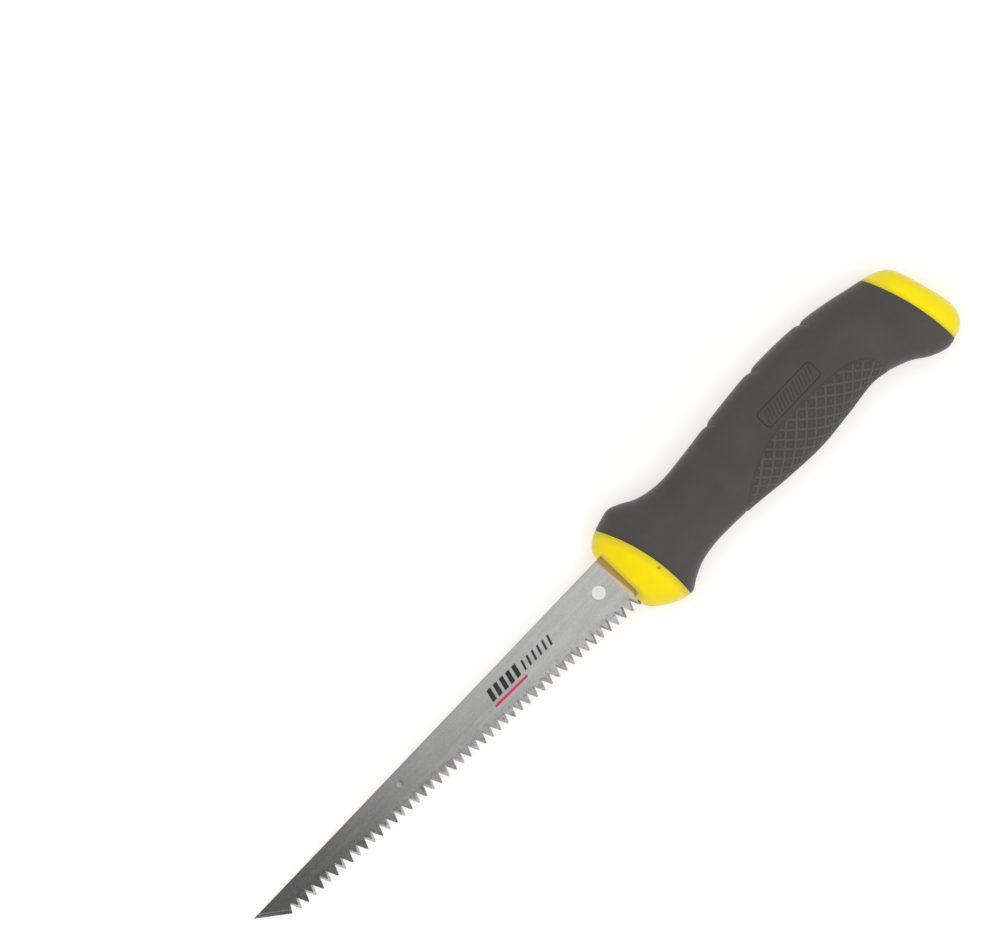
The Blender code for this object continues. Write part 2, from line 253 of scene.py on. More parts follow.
def ring_quads(rings, points, joined=False):
    """Quads between rings of equal counts; a joined set also runs from the last ring to the first."""
    start = np.arange(rings if joined else rings - 1)[:, None] * points
    here = np.arange(points)[None, :]
    after = (here + 1) % points
    above = (start + points) % (rings * points)
    quads = np.stack([start + here, start + after, above + after, above + here], axis=-1)
    return quads.reshape(-1, 4)


def ring_body(name, rings, looks, sharp=35.0):
    """A closed body from an array of rings, with a face over each end."""
    rings = np.asarray(rings, float)
    count, points = rings.shape[:2]
    faces = ring_quads(count, points).tolist()
    faces.append(list(range(points)))
    faces.append(list(range((count - 1) * points, count * points)))
    return finish_mesh(name, rings.reshape(-1, 3), faces, looks, sharp)


def prism(name, outline, low, high):
    """An outline in the blade's plane, between two levels."""
    rings = [[(x, y, z) for x, y in outline] for z in (low, high)]
    return ring_body(name, rings, ())


def arc(centre, radius, start, end, steps):
    """Points of a circle, with its angles in degrees."""
    turn = np.radians(np.linspace(start, end, steps + 1))
    return [(centre[0] + radius * math.cos(t), centre[1] + radius * math.sin(t)) for t in turn]


def circle(centre, radius, points):
    return arc(centre, radius, 0, 360 - 360 / points, points - 1)


def stadium(centre, size, radius):
    """A rectangle with round corners."""
    outline = []
    for corner, (sign_x, sign_y) in enumerate(((1, 1), (-1, 1), (-1, -1), (1, -1))):
        spot = (
            centre[0] + sign_x * (size[0] / 2 - radius),
            centre[1] + sign_y * (size[1] / 2 - radius),
        )
        outline += arc(spot, radius, 90 * corner, 90 * corner + 90, 6)
    return outline


def cut(body, cutter):
    """Takes the cutter's shape out of the body, and removes the cutter."""
    step = body.modifiers.new("cut", "BOOLEAN")
    step.operation = "DIFFERENCE"
    step.solver = "EXACT"
    step.object = cutter
    bpy.context.view_layer.update()
    evaluated = body.evaluated_get(bpy.context.evaluated_depsgraph_get())
    result = bpy.data.meshes.new_from_object(evaluated)
    body.modifiers.remove(step)
    body.data = result
    bpy.data.objects.remove(cutter, do_unlink=True)


# Materials


class Look:
    """A node material on one Principled shader, with helpers for its texture nodes."""

    def __init__(self, name, roughness, metallic=0.0, specular=0.5):
        self.material = bpy.data.materials.new(name)
        self.material.use_nodes = True
        self.nodes = self.material.node_tree.nodes
        self.links = self.material.node_tree.links
        self.shader = self.nodes["Principled BSDF"]
        self.shader.inputs["Roughness"].default_value = roughness
        self.shader.inputs["Metallic"].default_value = metallic
        self.shader.inputs["Specular IOR Level"].default_value = specular
        coordinates = self.nodes.new("ShaderNodeTexCoord").outputs["Object"]
        moved = self.vector("SUBTRACT", coordinates, ORIGIN)
        self.spot = self.vector("SCALE", moved, scale=1 / MM)
        self.normal = None

    def join(self, source, target):
        """Links a socket, or sets a number or vector."""
        if isinstance(source, bpy.types.NodeSocket):
            self.links.new(source, target)
        else:
            target.default_value = source

    def vector(self, operation, first, second=None, scale=None, result="Vector"):
        node = self.nodes.new("ShaderNodeVectorMath")
        node.operation = operation
        self.join(first, node.inputs[0])
        if second is not None:
            self.join(second, node.inputs[1])
        if scale is not None:
            node.inputs["Scale"].default_value = scale
        return node.outputs[result]

    def math(self, operation, first, second=0.0):
        node = self.nodes.new("ShaderNodeMath")
        node.operation = operation
        self.join(first, node.inputs[0])
        self.join(second, node.inputs[1])
        return node.outputs["Value"]

    def times(self, first, second):
        return self.math("MULTIPLY", first, second)

    def noise(self, size, turn=0.0, detail=3.0):
        """Noise from 0 to 1. size is one grain's size in millimetres, or one for each axis."""
        sizes = (size, size, size) if isinstance(size, (int, float)) else size
        mapping = self.nodes.new("ShaderNodeMapping")
        mapping.vector_type = "TEXTURE"
        mapping.inputs["Rotation"].default_value = (0, 0, math.radians(turn))
        mapping.inputs["Scale"].default_value = sizes
        self.links.new(self.spot, mapping.inputs["Vector"])
        node = self.nodes.new("ShaderNodeTexNoise")
        node.inputs["Scale"].default_value = 1.0
        node.inputs["Detail"].default_value = detail
        self.links.new(mapping.outputs["Vector"], node.inputs["Vector"])
        return node.outputs["Fac"]

    def remap(self, value, low, high, to_low=0.0, to_high=1.0, smooth=False):
        node = self.nodes.new("ShaderNodeMapRange")
        node.interpolation_type = "SMOOTHSTEP" if smooth else "LINEAR"
        for key, number in enumerate((value, low, high, to_low, to_high)):
            self.join(number, node.inputs[key])
        return node.outputs["Result"]

    def mix(self, share, first, second):
        """A colour between two colours or sockets."""
        node = self.nodes.new("ShaderNodeMix")
        node.data_type = "RGBA"
        self.join(share, node.inputs["Factor"])
        for value, key in ((first, 6), (second, 7)):
            socket = value if isinstance(value, bpy.types.NodeSocket) else (*value, 1.0)
            self.join(socket, node.inputs[key])
        return node.outputs[2]

    def near(self, centre, radius, soft):
        """1 within a distance of a point, fading to 0."""
        distance = self.vector("DISTANCE", self.spot, centre, result="Value")
        return self.remap(distance, radius, radius + soft, 1.0, 0.0, True)

    def axes(self):
        node = self.nodes.new("ShaderNodeSeparateXYZ")
        self.links.new(self.spot, node.inputs[0])
        return node.outputs

    def bump(self, height, depth):
        """Adds relief of a depth in millimetres."""
        node = self.nodes.new("ShaderNodeBump")
        node.inputs["Strength"].default_value = 1.0
        node.inputs["Distance"].default_value = depth * MM
        self.join(height, node.inputs["Height"])
        if self.normal is not None:
            self.links.new(self.normal, node.inputs["Normal"])
        self.normal = node.outputs["Normal"]

    def done(self, colour, roughness=None):
        """Connects the colour, the roughness if it varies, and the relief."""
        self.links.new(colour, self.shader.inputs["Base Color"])
        if roughness is not None:
            self.links.new(roughness, self.shader.inputs["Roughness"])
        if self.normal is not None:
            self.links.new(self.normal, self.shader.inputs["Normal"])
        return self.material


def steel_look():
    """Cold-rolled strip with a satin finish: mottled, with fine lines along the blade.

    The spine is darker and the teeth are stained. Beside the bolster the steel has a painted
    reflection of its yellow, and in its recess painted shade and reflection.
    """
    look = Look("blade_steel", 0.27, metallic=1.0)
    x, y, _ = look.axes()
    cloud = look.noise(7.0, detail=4.0)
    speck = look.noise(0.9, detail=4.0)
    lines = look.noise((9.0, 0.22, 0.22), detail=2.0)
    streaks = look.noise((34.0, 1.6, 1.6), detail=2.0)
    mottle = look.math("ADD", look.times(cloud, 0.45), look.times(speck, 0.55))
    colour = look.mix(look.remap(mottle, 0.35, 0.65), (0.46, 0.459, 0.457), (0.54, 0.538, 0.534))
    colour = look.mix(look.remap(streaks, 0.42, 0.7, 0.0, 0.4), colour, (0.66, 0.657, 0.65))
    spine = look.remap(y, -0.5, -0.25)
    colour = look.mix(look.times(spine, 0.45), colour, (0.3, 0.3, 0.3))
    slope = look.times(x, TOOTH_LINE_SLOPE)
    tooth_line = look.math("ADD", slope, FIRST_TOOTH[1] - FIRST_TOOTH[0] * TOOTH_LINE_SLOPE)
    above_teeth = look.math("SUBTRACT", y, tooth_line)
    band = look.remap(above_teeth, 2.4, 6.5, 1.0, 0.0, True)
    spots = look.remap(look.noise(1.2, detail=3.0), 0.5, 0.62)
    stain = look.times(look.times(band, spots), 0.6)
    colour = look.mix(stain, colour, (0.22, 0.22, 0.222))
    dimple = look.near((*DIMPLE, HALF_BLADE), 0.4, 0.9)
    scratch = look.near((*SCRATCH, HALF_BLADE), 0.1, 0.4)
    nick = look.near((*NICK, HALF_BLADE), 0.15, 0.3)
    colour = look.mix(look.times(dimple, 0.5), colour, (0.8, 0.79, 0.78))
    colour = look.mix(look.times(scratch, 0.5), colour, (0.8, 0.79, 0.78))
    colour = look.mix(look.times(nick, 0.6), colour, (0.2, 0.2, 0.2))
    # painted reflection: a tan band of the bolster's yellow on the blade, just in front of it
    beside = look.remap(x, 157.9, 158.9, 0.0, 1.0, True)
    painted_yellow_reflection = look.times(beside, look.remap(y, -2.0, -9.0))
    colour = look.mix(painted_yellow_reflection, colour, (0.7, 0.585, 0.39))
    # painted shade and painted reflection: the blade is brown inside the bolster's recess
    slanted = look.math("ADD", x, look.times(y, 0.065))
    mirrored = look.remap(slanted, 158.5, 159.1, 0.0, 1.0, True)
    colour = look.mix(mirrored, colour, (0.45, 0.33, 0.09))
    roughness = look.remap(look.math("ADD", speck, lines), 0.6, 1.4, 0.25, 0.29)
    look.bump(lines, 0.003)
    look.bump(speck, 0.004)
    look.bump(dimple, -0.045)
    return look.done(colour, roughness)


def ground_look():
    """The ground flanks of the teeth: mottled, with grinding lines."""
    look = Look("ground_steel", 0.34, metallic=1.0)
    lines = look.noise((0.25, 2.0, 0.25), detail=2.0)
    speck = look.noise(0.5, detail=3.0)
    x, _, _ = look.axes()
    colour = look.mix(look.remap(lines, 0.35, 0.65), (0.36, 0.358, 0.355), (0.5, 0.497, 0.49))
    colour = look.mix(look.remap(speck, 0.48, 0.68, 0.0, 0.6), colour, (0.2, 0.2, 0.2))
    colour = look.mix(look.remap(x, 60.0, 140.0, 0.0, 0.5), colour, (0.13, 0.128, 0.125))
    look.bump(lines, 0.008)
    return look.done(colour, look.remap(lines, 0.3, 0.7, 0.3, 0.42))


def plunge_look():
    """The bevel of the plunge point: darkened with painted shade, with light grinding lines along its
    edge.
    """
    look = Look("plunge_steel", 0.34, metallic=1.0)
    turn = math.atan2(PLUNGE_CORNER[1], PLUNGE_CORNER[0])
    lines = look.noise((7.0, 0.3, 0.3), turn=math.degrees(turn), detail=2.0)
    speck = look.noise(0.6, detail=3.0)
    x, y, _ = look.axes()
    run = look.times(x, -math.sin(turn))
    rise = look.times(y, math.cos(turn))
    from_edge = look.math("ADD", run, rise)
    inner = look.remap(from_edge, 1.0, 1.25)
    # painted shade: the bevel's steel is darker than the blade's
    colour = look.mix(look.remap(lines, 0.45, 0.68), (0.07, 0.07, 0.07), (0.2, 0.198, 0.195))
    colour = look.mix(look.times(inner, 0.5), colour, (0.26, 0.257, 0.25))
    colour = look.mix(look.remap(speck, 0.5, 0.7, 0.0, 0.3), colour, (0.05, 0.05, 0.05))
    look.bump(lines, 0.008)
    return look.done(colour, look.remap(lines, 0.3, 0.7, 0.3, 0.42))


def pin_look():
    look = Look("pin_steel", 0.3, metallic=1.0)
    lines = look.noise((0.15, 0.15, 3.0), detail=2.0)
    colour = look.mix(lines, (0.5, 0.5, 0.5), (0.66, 0.66, 0.65))
    look.bump(lines, 0.006)
    return look.done(colour, look.remap(lines, 0.3, 0.7, 0.25, 0.38))


def plastic_look(name, colour, shade_colour, joint, fade):
    """Moulded plastic with faint flow marks and a fine surface.

    It has painted shade in the recess that the blade comes out of, and painted shade within fade of a
    joint's arc.
    """
    look = Look(name, 0.45, specular=0.06)
    look.shader.inputs["Sheen Weight"].default_value = 0.2
    look.shader.inputs["Sheen Roughness"].default_value = 0.4
    flow = look.noise((5.0, 9.0, 9.0), detail=2.0)
    speck = look.noise(0.5, detail=2.0)
    made = look.mix(look.remap(flow, 0.35, 0.7), colour, shade_colour)
    x, y, _ = look.axes()
    # painted shade: the recess in the bolster's nose and the yellow round it are darkened
    in_front = look.remap(x, RECESS_BACK - 0.2, RECESS_BACK + 1.9, 1.0, 0.0, True)
    below_spine = look.remap(y, 0.1, 0.5, 1.0, 0.0, True)
    above_teeth = look.remap(y, -20.8, -15.5, 0.15, 1.0, True)
    recess = look.times(in_front, look.times(below_spine, above_teeth))
    made = look.mix(look.times(recess, 0.55), made, (0.31, 0.205, 0.045))
    # painted shade: the yellow is darkened towards each joint with the grip
    run = look.math("SUBTRACT", x, joint[0])
    rise = look.math("SUBTRACT", y, joint[1])
    squares = look.math("ADD", look.times(run, run), look.times(rise, rise))
    from_joint = look.math("ABSOLUTE", look.math("SUBTRACT", look.math("SQRT", squares), joint[2]))
    made = look.mix(look.remap(from_joint, 0.2, fade, 0.5, 0.0), made, (0.25, 0.2, 0.04))
    gate = look.near(GATE_MARK, 0.3, 0.4)
    made = look.mix(look.times(gate, 0.75), made, (0.16, 0.11, 0.01))
    look.bump(speck, 0.006)
    look.bump(look.noise(2.4, detail=1.0), 0.01)
    return look.done(made, look.remap(speck, 0.3, 0.7, 0.4, 0.5))


def rubber_look():
    """Soft matt elastomer with a fine moulded grain. The pad's ridges are paler, partly from wear and
    partly from painted light, and its cells and the groove round it are darker with painted shade.
    """
    look = Look("black_rubber", 0.62, specular=0.4)
    look.shader.inputs["Sheen Weight"].default_value = 0.06
    look.shader.inputs["Sheen Roughness"].default_value = 0.4
    cloud = look.noise(11.0, detail=3.0)
    grain = look.noise(0.22, detail=2.0)
    bloom = look.noise(1.6, detail=3.0)
    colour = look.mix(look.remap(cloud, 0.3, 0.7), (0.0245, 0.023, 0.022), (0.03, 0.0285, 0.0275))
    colour = look.mix(look.remap(bloom, 0.5, 0.75, 0.0, 0.3), colour, (0.038, 0.0365, 0.0355))
    stored = look.nodes.new("ShaderNodeAttribute")
    stored.attribute_name = "wear_and_painted_light"
    wear_and_painted_light = stored.outputs["Fac"]
    # wear and painted light make the pad's ridges paler; painted shade makes its cells and the groove
    # round it darker
    colour = look.mix(look.remap(wear_and_painted_light, 0.0, 1.0, 0.0, 0.6), colour, (0.05, 0.0485, 0.047))
    colour = look.mix(look.remap(wear_and_painted_light, 0.0, -1.0, 0.0, 0.5), colour, (0.012, 0.0115, 0.0115))
    look.bump(grain, 0.02)
    return look.done(colour, look.remap(bloom, 0.3, 0.7, 0.55, 0.68))


def ink_look(name, colour, worn):
    look = Look(name, 0.42, specular=0.25)
    speck = look.noise(0.35, detail=3.0)
    made = look.mix(look.remap(speck, 0.5, 0.72), colour, worn)
    look.bump(speck, 0.004)
    return look.done(made, look.remap(speck, 0.3, 0.7, 0.36, 0.5))


def floor_look():
    """Pale backing that glows a little, as a lit table does, so that shadows stay faint."""
    look = Look("floor", 0.85, specular=0.1)
    cloud = look.noise(400.0, detail=1.0)
    look.shader.inputs["Emission Color"].default_value = (1.0, 0.94, 0.86, 1.0)
    look.shader.inputs["Emission Strength"].default_value = 0.48
    return look.done(look.mix(cloud, (0.4, 0.4, 0.4), (0.42, 0.42, 0.42)))


STEEL = steel_look()
GROUND_STEEL = ground_look()
PLUNGE_STEEL = plunge_look()
PIN_STEEL = pin_look()
YELLOW = plastic_look("yellow_plastic", (0.575, 0.45, 0.001), (0.6, 0.475, 0.001), FRONT_JOINT, 2.8)
CAP_YELLOW = plastic_look("cap_plastic", (0.59, 0.485, 0.001), (0.61, 0.505, 0.001), REAR_JOINT, 1.6)
RUBBER = rubber_look()
BLACK_INK = ink_look("black_ink", (0.01, 0.0095, 0.0095), (0.03, 0.03, 0.03))
RED_INK = ink_look("red_ink", (0.33, 0.016, 0.03), (0.36, 0.05, 0.065))


# The blade


def tooth_tip(k):
    run = k * TOOTH_PITCH
    return FIRST_TOOTH[0] + run, FIRST_TOOTH[1] + run * TOOTH_LINE_SLOPE


def crossing(start, along, other, other_along):
    """Where two lines in the blade's plane cross, each given by a point and a direction."""
    start = Vector(start)
    along = Vector(along)
    across = Vector((-other_along[1], other_along[0]))
    step = across.dot(Vector(other) - start) / across.dot(along)
    return tuple(start + along * step)


def tooth_row(first_inset):
    """Gullets and tips on one face. Every second tooth has its flanks ground back on that face."""
    lean = math.tan(TOOTH_HALF_ANGLE)
    insets = [FLEAM if k % 2 == first_inset else 0.0 for k in range(TOOTH_COUNT)]
    points = []
    for k in range(TOOTH_COUNT):
        tip = tooth_tip(k)
        before = tooth_tip(k - 1)
        left = (before[0] - (insets[k - 1] if k else 0.0), before[1])
        right = (tip[0] + insets[k], tip[1])
        points.append(crossing(left, (lean, 1), right, (-lean, 1)))
        narrow = 0.4 if insets[k] else 1.0
        for across, up in TIP_SHAPE:
            points.append((tip[0] + across * narrow, tip[1] + insets[k] / lean + up * narrow))
    return points


def last_flank_end():
    """The x at which the last tooth's rear flank meets the blade's lower edge."""
    return tooth_tip(TOOTH_COUNT - 1)[0] + TOOTH_DEPTH * math.tan(TOOTH_HALF_ANGLE)


def blade_outline(first_inset, bevel, chamfer):
    """The blade's outline on one face, from the tip along the teeth and back along the spine."""
    back = bevel * math.hypot(*PLUNGE_CORNER) / -PLUNGE_CORNER[1]
    last = tooth_tip(TOOTH_COUNT - 1)
    row = tooth_row(first_inset)
    rise = Vector(row[0]) - Vector(PLUNGE_CORNER)
    return [
        crossing((back, 0.0), PLUNGE_CORNER, (0.0, -chamfer), (1.0, 0.0)),
        crossing((back, 0.0), PLUNGE_CORNER, PLUNGE_CORNER, rise),
        *row,
        (last_flank_end(), last[1] + TOOTH_DEPTH),
        (TANG_START, last[1] + TOOTH_DEPTH),
        (TANG_START + SHOULDER, TANG_BOTTOM),
        (TANG_END - TANG_CORNER, TANG_BOTTOM),
        (TANG_END, TANG_BOTTOM + TANG_CORNER),
        (TANG_END, TANG_TOP - TANG_CORNER),
        (TANG_END - TANG_CORNER, TANG_TOP),
        (TANG_START + SHOULDER, TANG_TOP),
        (TANG_START, -chamfer),
    ]


def blade_layer(z):
    """The blade's ring at one level, between the outlines of its two faces."""
    share = abs(z) / HALF_BLADE
    chamfer = SPINE_CHAMFER if share == 1.0 else 0.0
    upper, lower = (np.array(blade_outline(k, PLUNGE_BEVEL * share, chamfer)) for k in (0, 1))
    outline = lower + (upper - lower) * (z / HALF_BLADE + 1) / 2
    return [(x, y, z) for x, y in outline]


def hole_cutter(centre, radius, chamfer):
    """A cutter that also takes the sharp edge off both ends of its hole."""
    beyond = 0.3
    levels = (
        (-HALF_BLADE - beyond, radius + chamfer + beyond),
        (-HALF_BLADE + chamfer, radius),
        (HALF_BLADE - chamfer, radius),
        (HALF_BLADE + beyond, radius + chamfer + beyond),
    )
    rings = [[(x, y, z) for x, y in circle(centre, r, 72)] for z, r in levels]
    return ring_body("hole", rings, ())


def make_blade():
    """The blade: its slanted faces along the teeth and the plunge edge get the ground looks."""
    edge = HALF_BLADE - SPINE_CHAMFER
    layers = [blade_layer(z) for z in (-HALF_BLADE, -edge, 0.0, edge, HALF_BLADE)]
    blade = ring_body("saw_blade", layers, (STEEL, GROUND_STEEL, PLUNGE_STEEL), BLADE_SHARP)
    cut(blade, hole_cutter(HANG_HOLE, HANG_HOLE_RADIUS, 0.12))
    for centre in PIN_CENTRES:
        cut(blade, hole_cutter(centre, PIN_RADIUS + CLEARANCE, 0.05))
    for face in blade.data.polygons:
        x, y, _ = (np.array(face.center) - np.array(ORIGIN)) / MM
        gullets = FIRST_TOOTH[1] + TOOTH_DEPTH + (x - FIRST_TOOTH[0]) * TOOTH_LINE_SLOPE
        low = y < gullets + 1.0 or x < PLUNGE_CORNER[0]
        slanted = abs(face.normal.z) < 0.99
        if low and slanted and y < -0.3 and x < TANG_START:
            face.material_index = 1 if x > PLUNGE_CORNER[0] else 2
    shade(blade, BLADE_SHARP)
    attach(blade, "root")
    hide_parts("blade")


def make_print():
    """A generic printed device: slanted bars in two weights, and a thin red line under the first."""
    start = 103.0
    slope = -0.035
    lean = 1.1
    low = HALF_BLADE + 0.004
    high = low + 0.02
    bars = [(start + 0.4 + 2.75 * k, 1.7, -3.5, -7.6) for k in range(5)]
    bars += [(start + 14.9 + 2.3 * k, 0.8, -4.2, -7.5) for k in range(6)]
    vertices = []
    faces = []
    for x, width, top, bottom in bars:
        drop = slope * (x - start)
        corners = ((x, bottom), (x + width, bottom), (x + width + lean, top), (x + lean, top))
        add_slab(vertices, faces, [(a, b + drop) for a, b in corners], low, high)
    device = finish_mesh("blade_print", vertices, faces, (BLACK_INK,))
    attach(device, "root")
    vertices = []
    faces = []
    corners = ((0.0, -9.5), (14.2, -9.5), (14.4, -8.6), (0.1, -8.6))
    add_slab(vertices, faces, [(start + a, b + slope * a) for a, b in corners], low, high)
    line = finish_mesh("blade_print_line", vertices, faces, (RED_INK,))
    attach(line, "root")


def add_slab(vertices, faces, corners, low, high):
    """Adds a closed prism over a polygon to lists of vertices and faces."""
    count = len(corners)
    start = len(vertices)
    vertices += [(x, y, z) for z in (low, high) for x, y in corners]
    faces.append([start + k for k in range(count)])
    faces.append([start + count + k for k in range(count)])
    for k in range(count):
        after = (k + 1) % count
        faces.append([start + k, start + after, start + count + after, start + count + k])


# The handle's surface


def spline(before, start, end, after, t):
    """Points between start and end on a Catmull-Rom curve."""
    return (
        2 * start
        + (end - before) * t
        + (2 * before - 5 * start + 4 * end - after) * t**2
        + (3 * start - before - 3 * end + after) * t**3
    ) / 2


def section(position):
    """Section values at positions counted in sections."""
    position = np.asarray(position, float)
    k = np.clip(position.astype(int), 0, LAST_SECTION - 1)
    near = [SECTION_VALUES[np.clip(k + step, 0, LAST_SECTION)] for step in (-1, 0, 1, 2)]
    return spline(*near, (position - k)[..., None])


def surface(position, turn, inset=0.0):
    """Points of the handle. turn is 0 on the teeth side, 90 degrees at +z and 180 at the back."""
    values = section(position)
    top, bottom = values[..., 0:2], values[..., 2:4]
    half, power = values[..., 4], values[..., 5]
    reach = (bottom - top) / 2
    reach = reach * (1 - inset / np.linalg.norm(reach, axis=-1))[..., None]
    across = np.sign(np.sin(turn)) * np.abs(np.sin(turn)) ** (2 / power)
    along = np.sign(np.cos(turn)) * np.abs(np.cos(turn)) ** (2 / power)
    flat = (top + bottom) / 2 + reach * along[..., None]
    return np.concatenate([flat, ((half - inset) * across)[..., None]], axis=-1)


def middle_x(position):
    return section(position)[..., 0:4:2].mean(axis=-1)


POSITION_TABLE = np.linspace(2, LAST_SECTION, 2101)
MIDDLE_X_TABLE = middle_x(POSITION_TABLE)


def position_at(x):
    return np.interp(x, MIDDLE_X_TABLE, POSITION_TABLE)


def half_girth(position):
    """Turns from the teeth side to the back, and the distance round the handle at each."""
    turns = np.linspace(0, math.pi, 361)
    points = surface(np.full(len(turns), float(position)), turns)
    steps = np.linalg.norm(np.diff(points, axis=0), axis=1)
    return turns, np.concatenate([[0], np.cumsum(steps)])


def whole_turn(side):
    """Turns round a whole ring, from those of its +z side."""
    return np.concatenate([side, 2 * math.pi - side[-2:0:-1]])


def even_turns(position):
    """Turns that space a body's points evenly round the handle at one position."""
    turns, girth = half_girth(position)
    return whole_turn(np.interp(np.linspace(0, girth[-1], BODY_POINTS // 2 + 1), girth, turns))


def joint_x(joint, turns, inset=0.0, shift=0.0):
    """The middle x of the positions at which lines along the handle cross a joint's arc."""
    centre_x, centre_y, radius, first, last = joint
    low = np.full(len(turns), first)
    high = np.full(len(turns), last)
    for _ in range(30):
        middle = (low + high) / 2
        spot = surface(middle, turns, inset)
        before = np.hypot(spot[:, 0] - centre_x - shift, spot[:, 1] - centre_y) < radius
        low = np.where(before, middle, low)
        high = np.where(before, high, middle)
    return middle_x(low)


def joint_rings(joint, turns, shift, radius, inset, sign):
    """Rings from the surface over a rounded edge and down a joint's face to an inset.

    sign is 1 where the body ends at the joint and -1 where it starts there.
    """
    edge = joint_x(joint, turns, 0.0, shift)
    rings = []
    for angle in np.linspace(0, math.pi / 2, 6):
        x = edge - sign * radius * (1 - math.sin(angle))
        rings.append(surface(position_at(x), turns, radius * (1 - math.cos(angle))))
    for depth in np.linspace(radius, inset, 5)[1:]:
        x = joint_x(joint, turns, depth, shift)
        rings.append(surface(position_at(x), turns, depth))
    return rings


def between(start_x, end_x, turns, count, inset):
    """Rings at even steps of x, without the first and last."""
    shares = np.linspace(0, 1, count + 2)[1:-1]
    return [surface(position_at(start_x + (end_x - start_x) * s), turns, inset) for s in shares]


# The core and the end cap


def make_core():
    turns = even_turns(6)
    shift = -CLEARANCE / 2
    edge = joint_x(FRONT_JOINT, turns, 0.0, shift) - PLASTIC_EDGE
    edge_position = position_at(edge)
    rings = [surface(edge_position * s, turns) for s in np.linspace(0, 1, 42)[:-1]]
    rings += joint_rings(FRONT_JOINT, turns, shift, PLASTIC_EDGE, STEM_INSET, 1)
    front = joint_x(FRONT_JOINT, turns, STEM_INSET, shift)
    rear = joint_x(REAR_JOINT, turns, STEM_INSET, shift)
    pocket = joint_x(REAR_JOINT, turns, POCKET_INSET, shift)
    rings += between(front, rear, turns, 50, STEM_INSET)
    rings.append(surface(position_at(rear), turns, STEM_INSET))
    rings.append(surface(position_at(pocket), turns, POCKET_INSET))
    rings += between(pocket, POCKET_END, turns, 10, POCKET_INSET)
    core = ring_body("bolster_and_core", rings, (YELLOW,))
    last = tooth_tip(TOOTH_COUNT - 1)
    cut(core, make_recess())
    slot_half = HALF_BLADE + CLEARANCE
    root = last[1] + TOOTH_DEPTH - CLEARANCE
    mouth = [
        (MOUTH_FRONT, CLEARANCE),
        (MOUTH_FRONT, last[1] - CLEARANCE),
        (last[0], last[1] - CLEARANCE),
        (last_flank_end() + CLEARANCE, root),
        (TANG_START + SHOULDER + CLEARANCE, root),
        (TANG_START + SHOULDER + CLEARANCE, CLEARANCE),
    ]
    cut(core, prism("mouth", mouth, -slot_half, slot_half))
    inside = [
        (TANG_START, TANG_TOP + CLEARANCE),
        (TANG_START, TANG_BOTTOM - CLEARANCE),
        (TANG_END + CLEARANCE, TANG_BOTTOM - CLEARANCE),
        (TANG_END + CLEARANCE, TANG_TOP + CLEARANCE),
    ]
    cut(core, prism("inside", inside, -slot_half, slot_half))
    for centre in PIN_CENTRES:
        cut(core, prism("hole", circle(centre, PIN_RADIUS + CLEARANCE, 48), -20, 20))
    shade(core, 40.0)
    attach(core, "root")
    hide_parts("handle_core")


def make_recess():
    """The hollow in the bolster's nose that the blade comes out of, wider towards the sides."""
    top_flare, bottom_flare = RECESS_FLARE
    rings = []
    for z, share in RECESS_LEVELS:
        top = RECESS_SPAN[0] + share * top_flare
        bottom = RECESS_SPAN[1] - share * bottom_flare
        spot = (RECESS_BACK - RECESS_CORNER, bottom + RECESS_CORNER)
        corner = arc(spot, RECESS_CORNER, 270, 360, 5)
        outline = [(MOUTH_FRONT, top), (MOUTH_FRONT, bottom), *corner, (RECESS_BACK, top)]
        rings.append([(x, y, z) for x, y in outline])
    return ring_body("recess", rings, ())


def make_cap():
    turns = even_turns(19)
    shift = CLEARANCE / 2
    face = joint_rings(REAR_JOINT, turns, shift, PLASTIC_EDGE, PLUG_INSET, -1)
    plug = joint_x(REAR_JOINT, turns, PLUG_INSET, shift)
    rings = [surface(position_at(np.full(len(turns), PLUG_TIP)), turns, PLUG_INSET)]
    rings += between(PLUG_TIP, plug, turns, 8, PLUG_INSET)
    rings += face[::-1]
    edge = position_at(joint_x(REAR_JOINT, turns, 0.0, shift) + PLASTIC_EDGE)
    rings += [surface(edge + (LAST_SECTION - edge) * s, turns) for s in np.linspace(0, 1, 30)[1:]]
    cap = ring_body("butt_cap", rings, (CAP_YELLOW,))
    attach(cap, "root")
    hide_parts("end_cap")


# The grip


def grip_rows(x):
    """Turns, and distances from the teeth side's line and from the back line, round one column."""
    turns, girth = half_girth(position_at(x))
    step = DIAMOND_GIRTH / DIAMOND_STEPS
    fine = np.arange(0, FINE_GIRTH, step)
    rest = np.linspace(fine[-1], girth[-1], BACK_ROWS + 1)[1:]
    side = np.concatenate([fine, rest])
    whole = np.concatenate([side, side[-2:0:-1]])
    return whole_turn(np.interp(side, girth, turns)), whole, girth[-1] - whole


def grip_columns():
    """Fine columns through the pad, in step with its diamonds, and closer ones at each notch."""
    step = DIAMOND_LENGTH / DIAMOND_STEPS
    first = DIAMOND_PHASE - step * round((DIAMOND_PHASE - FINE_START) / step)
    columns = np.arange(first, FINE_END, step)
    for notch in NOTCHES:
        columns = columns[np.abs(columns - notch) > NOTCH_BAND]
        columns = np.concatenate([columns, notch + np.array(NOTCH_COLUMNS)])
    return np.sort(columns)


